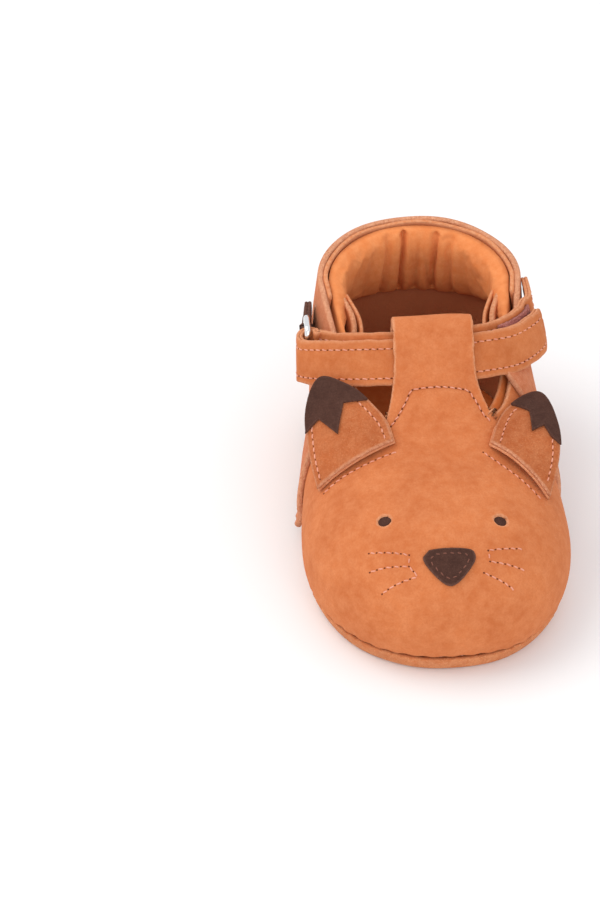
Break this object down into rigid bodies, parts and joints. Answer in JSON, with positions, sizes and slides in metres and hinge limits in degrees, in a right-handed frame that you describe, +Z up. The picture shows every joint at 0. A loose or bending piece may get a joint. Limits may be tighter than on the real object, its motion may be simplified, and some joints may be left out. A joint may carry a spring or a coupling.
{
  "type": "baby bootie",
  "caption": "Soft-soled leather baby bootie with an animal face, T-bar, looped strap with a metal ring, hook-and-loop tail and a padded heel collar.",
  "frame": {"origin": "on the ground at the underside of the sole, in the middle of the foot's width; the length runs from 61 mm in front to 62 mm behind", "axes": "+Y towards the heel, -Y towards the toe, +Z up, -X the medial side of this left bootie"},
  "size_m": [0.0684, 0.1227, 0.0573],
  "materials": {
    "nubuck": "matt nubuck, short nap",
    "suede": "rough suede",
    "lining_leather": "smooth matt leather",
    "dark_leather": "matt nubuck, short nap",
    "thread": "waxed sewing thread",
    "foam": "soft open-cell foam",
    "hook_and_loop": "hook and loop pile",
    "ring_metal": "bright plated wire"
  },
  "bodies": {
    "bootie": {"outsole": "suede", "sole_seam": "thread", "midsole_foam": "foam", "insole": "lining_leather", "vamp": "nubuck", "vamp_lining": "lining_leather", "quarter": "nubuck", "heel_lining": "lining_leather", "collar_foam": "foam", "collar_lining": "lining_leather", "strap_inner_run": "nubuck", "loop_patch": "hook_and_loop", "strap_outer_run": "nubuck", "ring_tab": "dark_leather", "nose": "dark_leather", "eye_left": "dark_leather", "eye_right": "dark_leather", "whiskers_left": "thread", "whiskers_right": "thread"},
    "closing_tail": {"strap_tail": "nubuck", "hook_patch": "hook_and_loop"},
    "buckle_ring": {"ring": "ring_metal"},
    "medial_ear": {"ear_left_back": "nubuck", "ear_left_front": "nubuck", "ear_left_tip": "dark_leather"},
    "lateral_ear": {"ear_right_back": "nubuck", "ear_right_front": "nubuck", "ear_right_tip": "dark_leather"}
  },
  "joints": [
    {"name": "strap_tail_opening", "type": "hinge", "parent": "bootie", "child": "closing_tail", "pos_m": [0.01414, 0.00584, 0.04919], "axis": [0.0999, -0.6191, -0.7789], "range_deg": [0, 85]},
    {"name": "ring_swing", "type": "hinge", "parent": "bootie", "child": "buckle_ring", "pos_m": [-0.0301, 0.0242, 0.0426], "axis": [0, 0, 1], "range_deg": [0, 4]},
    {"name": "medial_ear_fold", "type": "hinge", "parent": "bootie", "child": "medial_ear", "pos_m": [-0.02947, -0.01949, 0.0275], "axis": [0.8629, 0.2135, 0.4581], "range_deg": [0, 30]},
    {"name": "lateral_ear_fold", "type": "hinge", "parent": "bootie", "child": "lateral_ear", "pos_m": [0.01338, -0.0156, 0.0371], "axis": [0.6948, -0.611, -0.3794], "range_deg": [0, 30]}
  ]
}
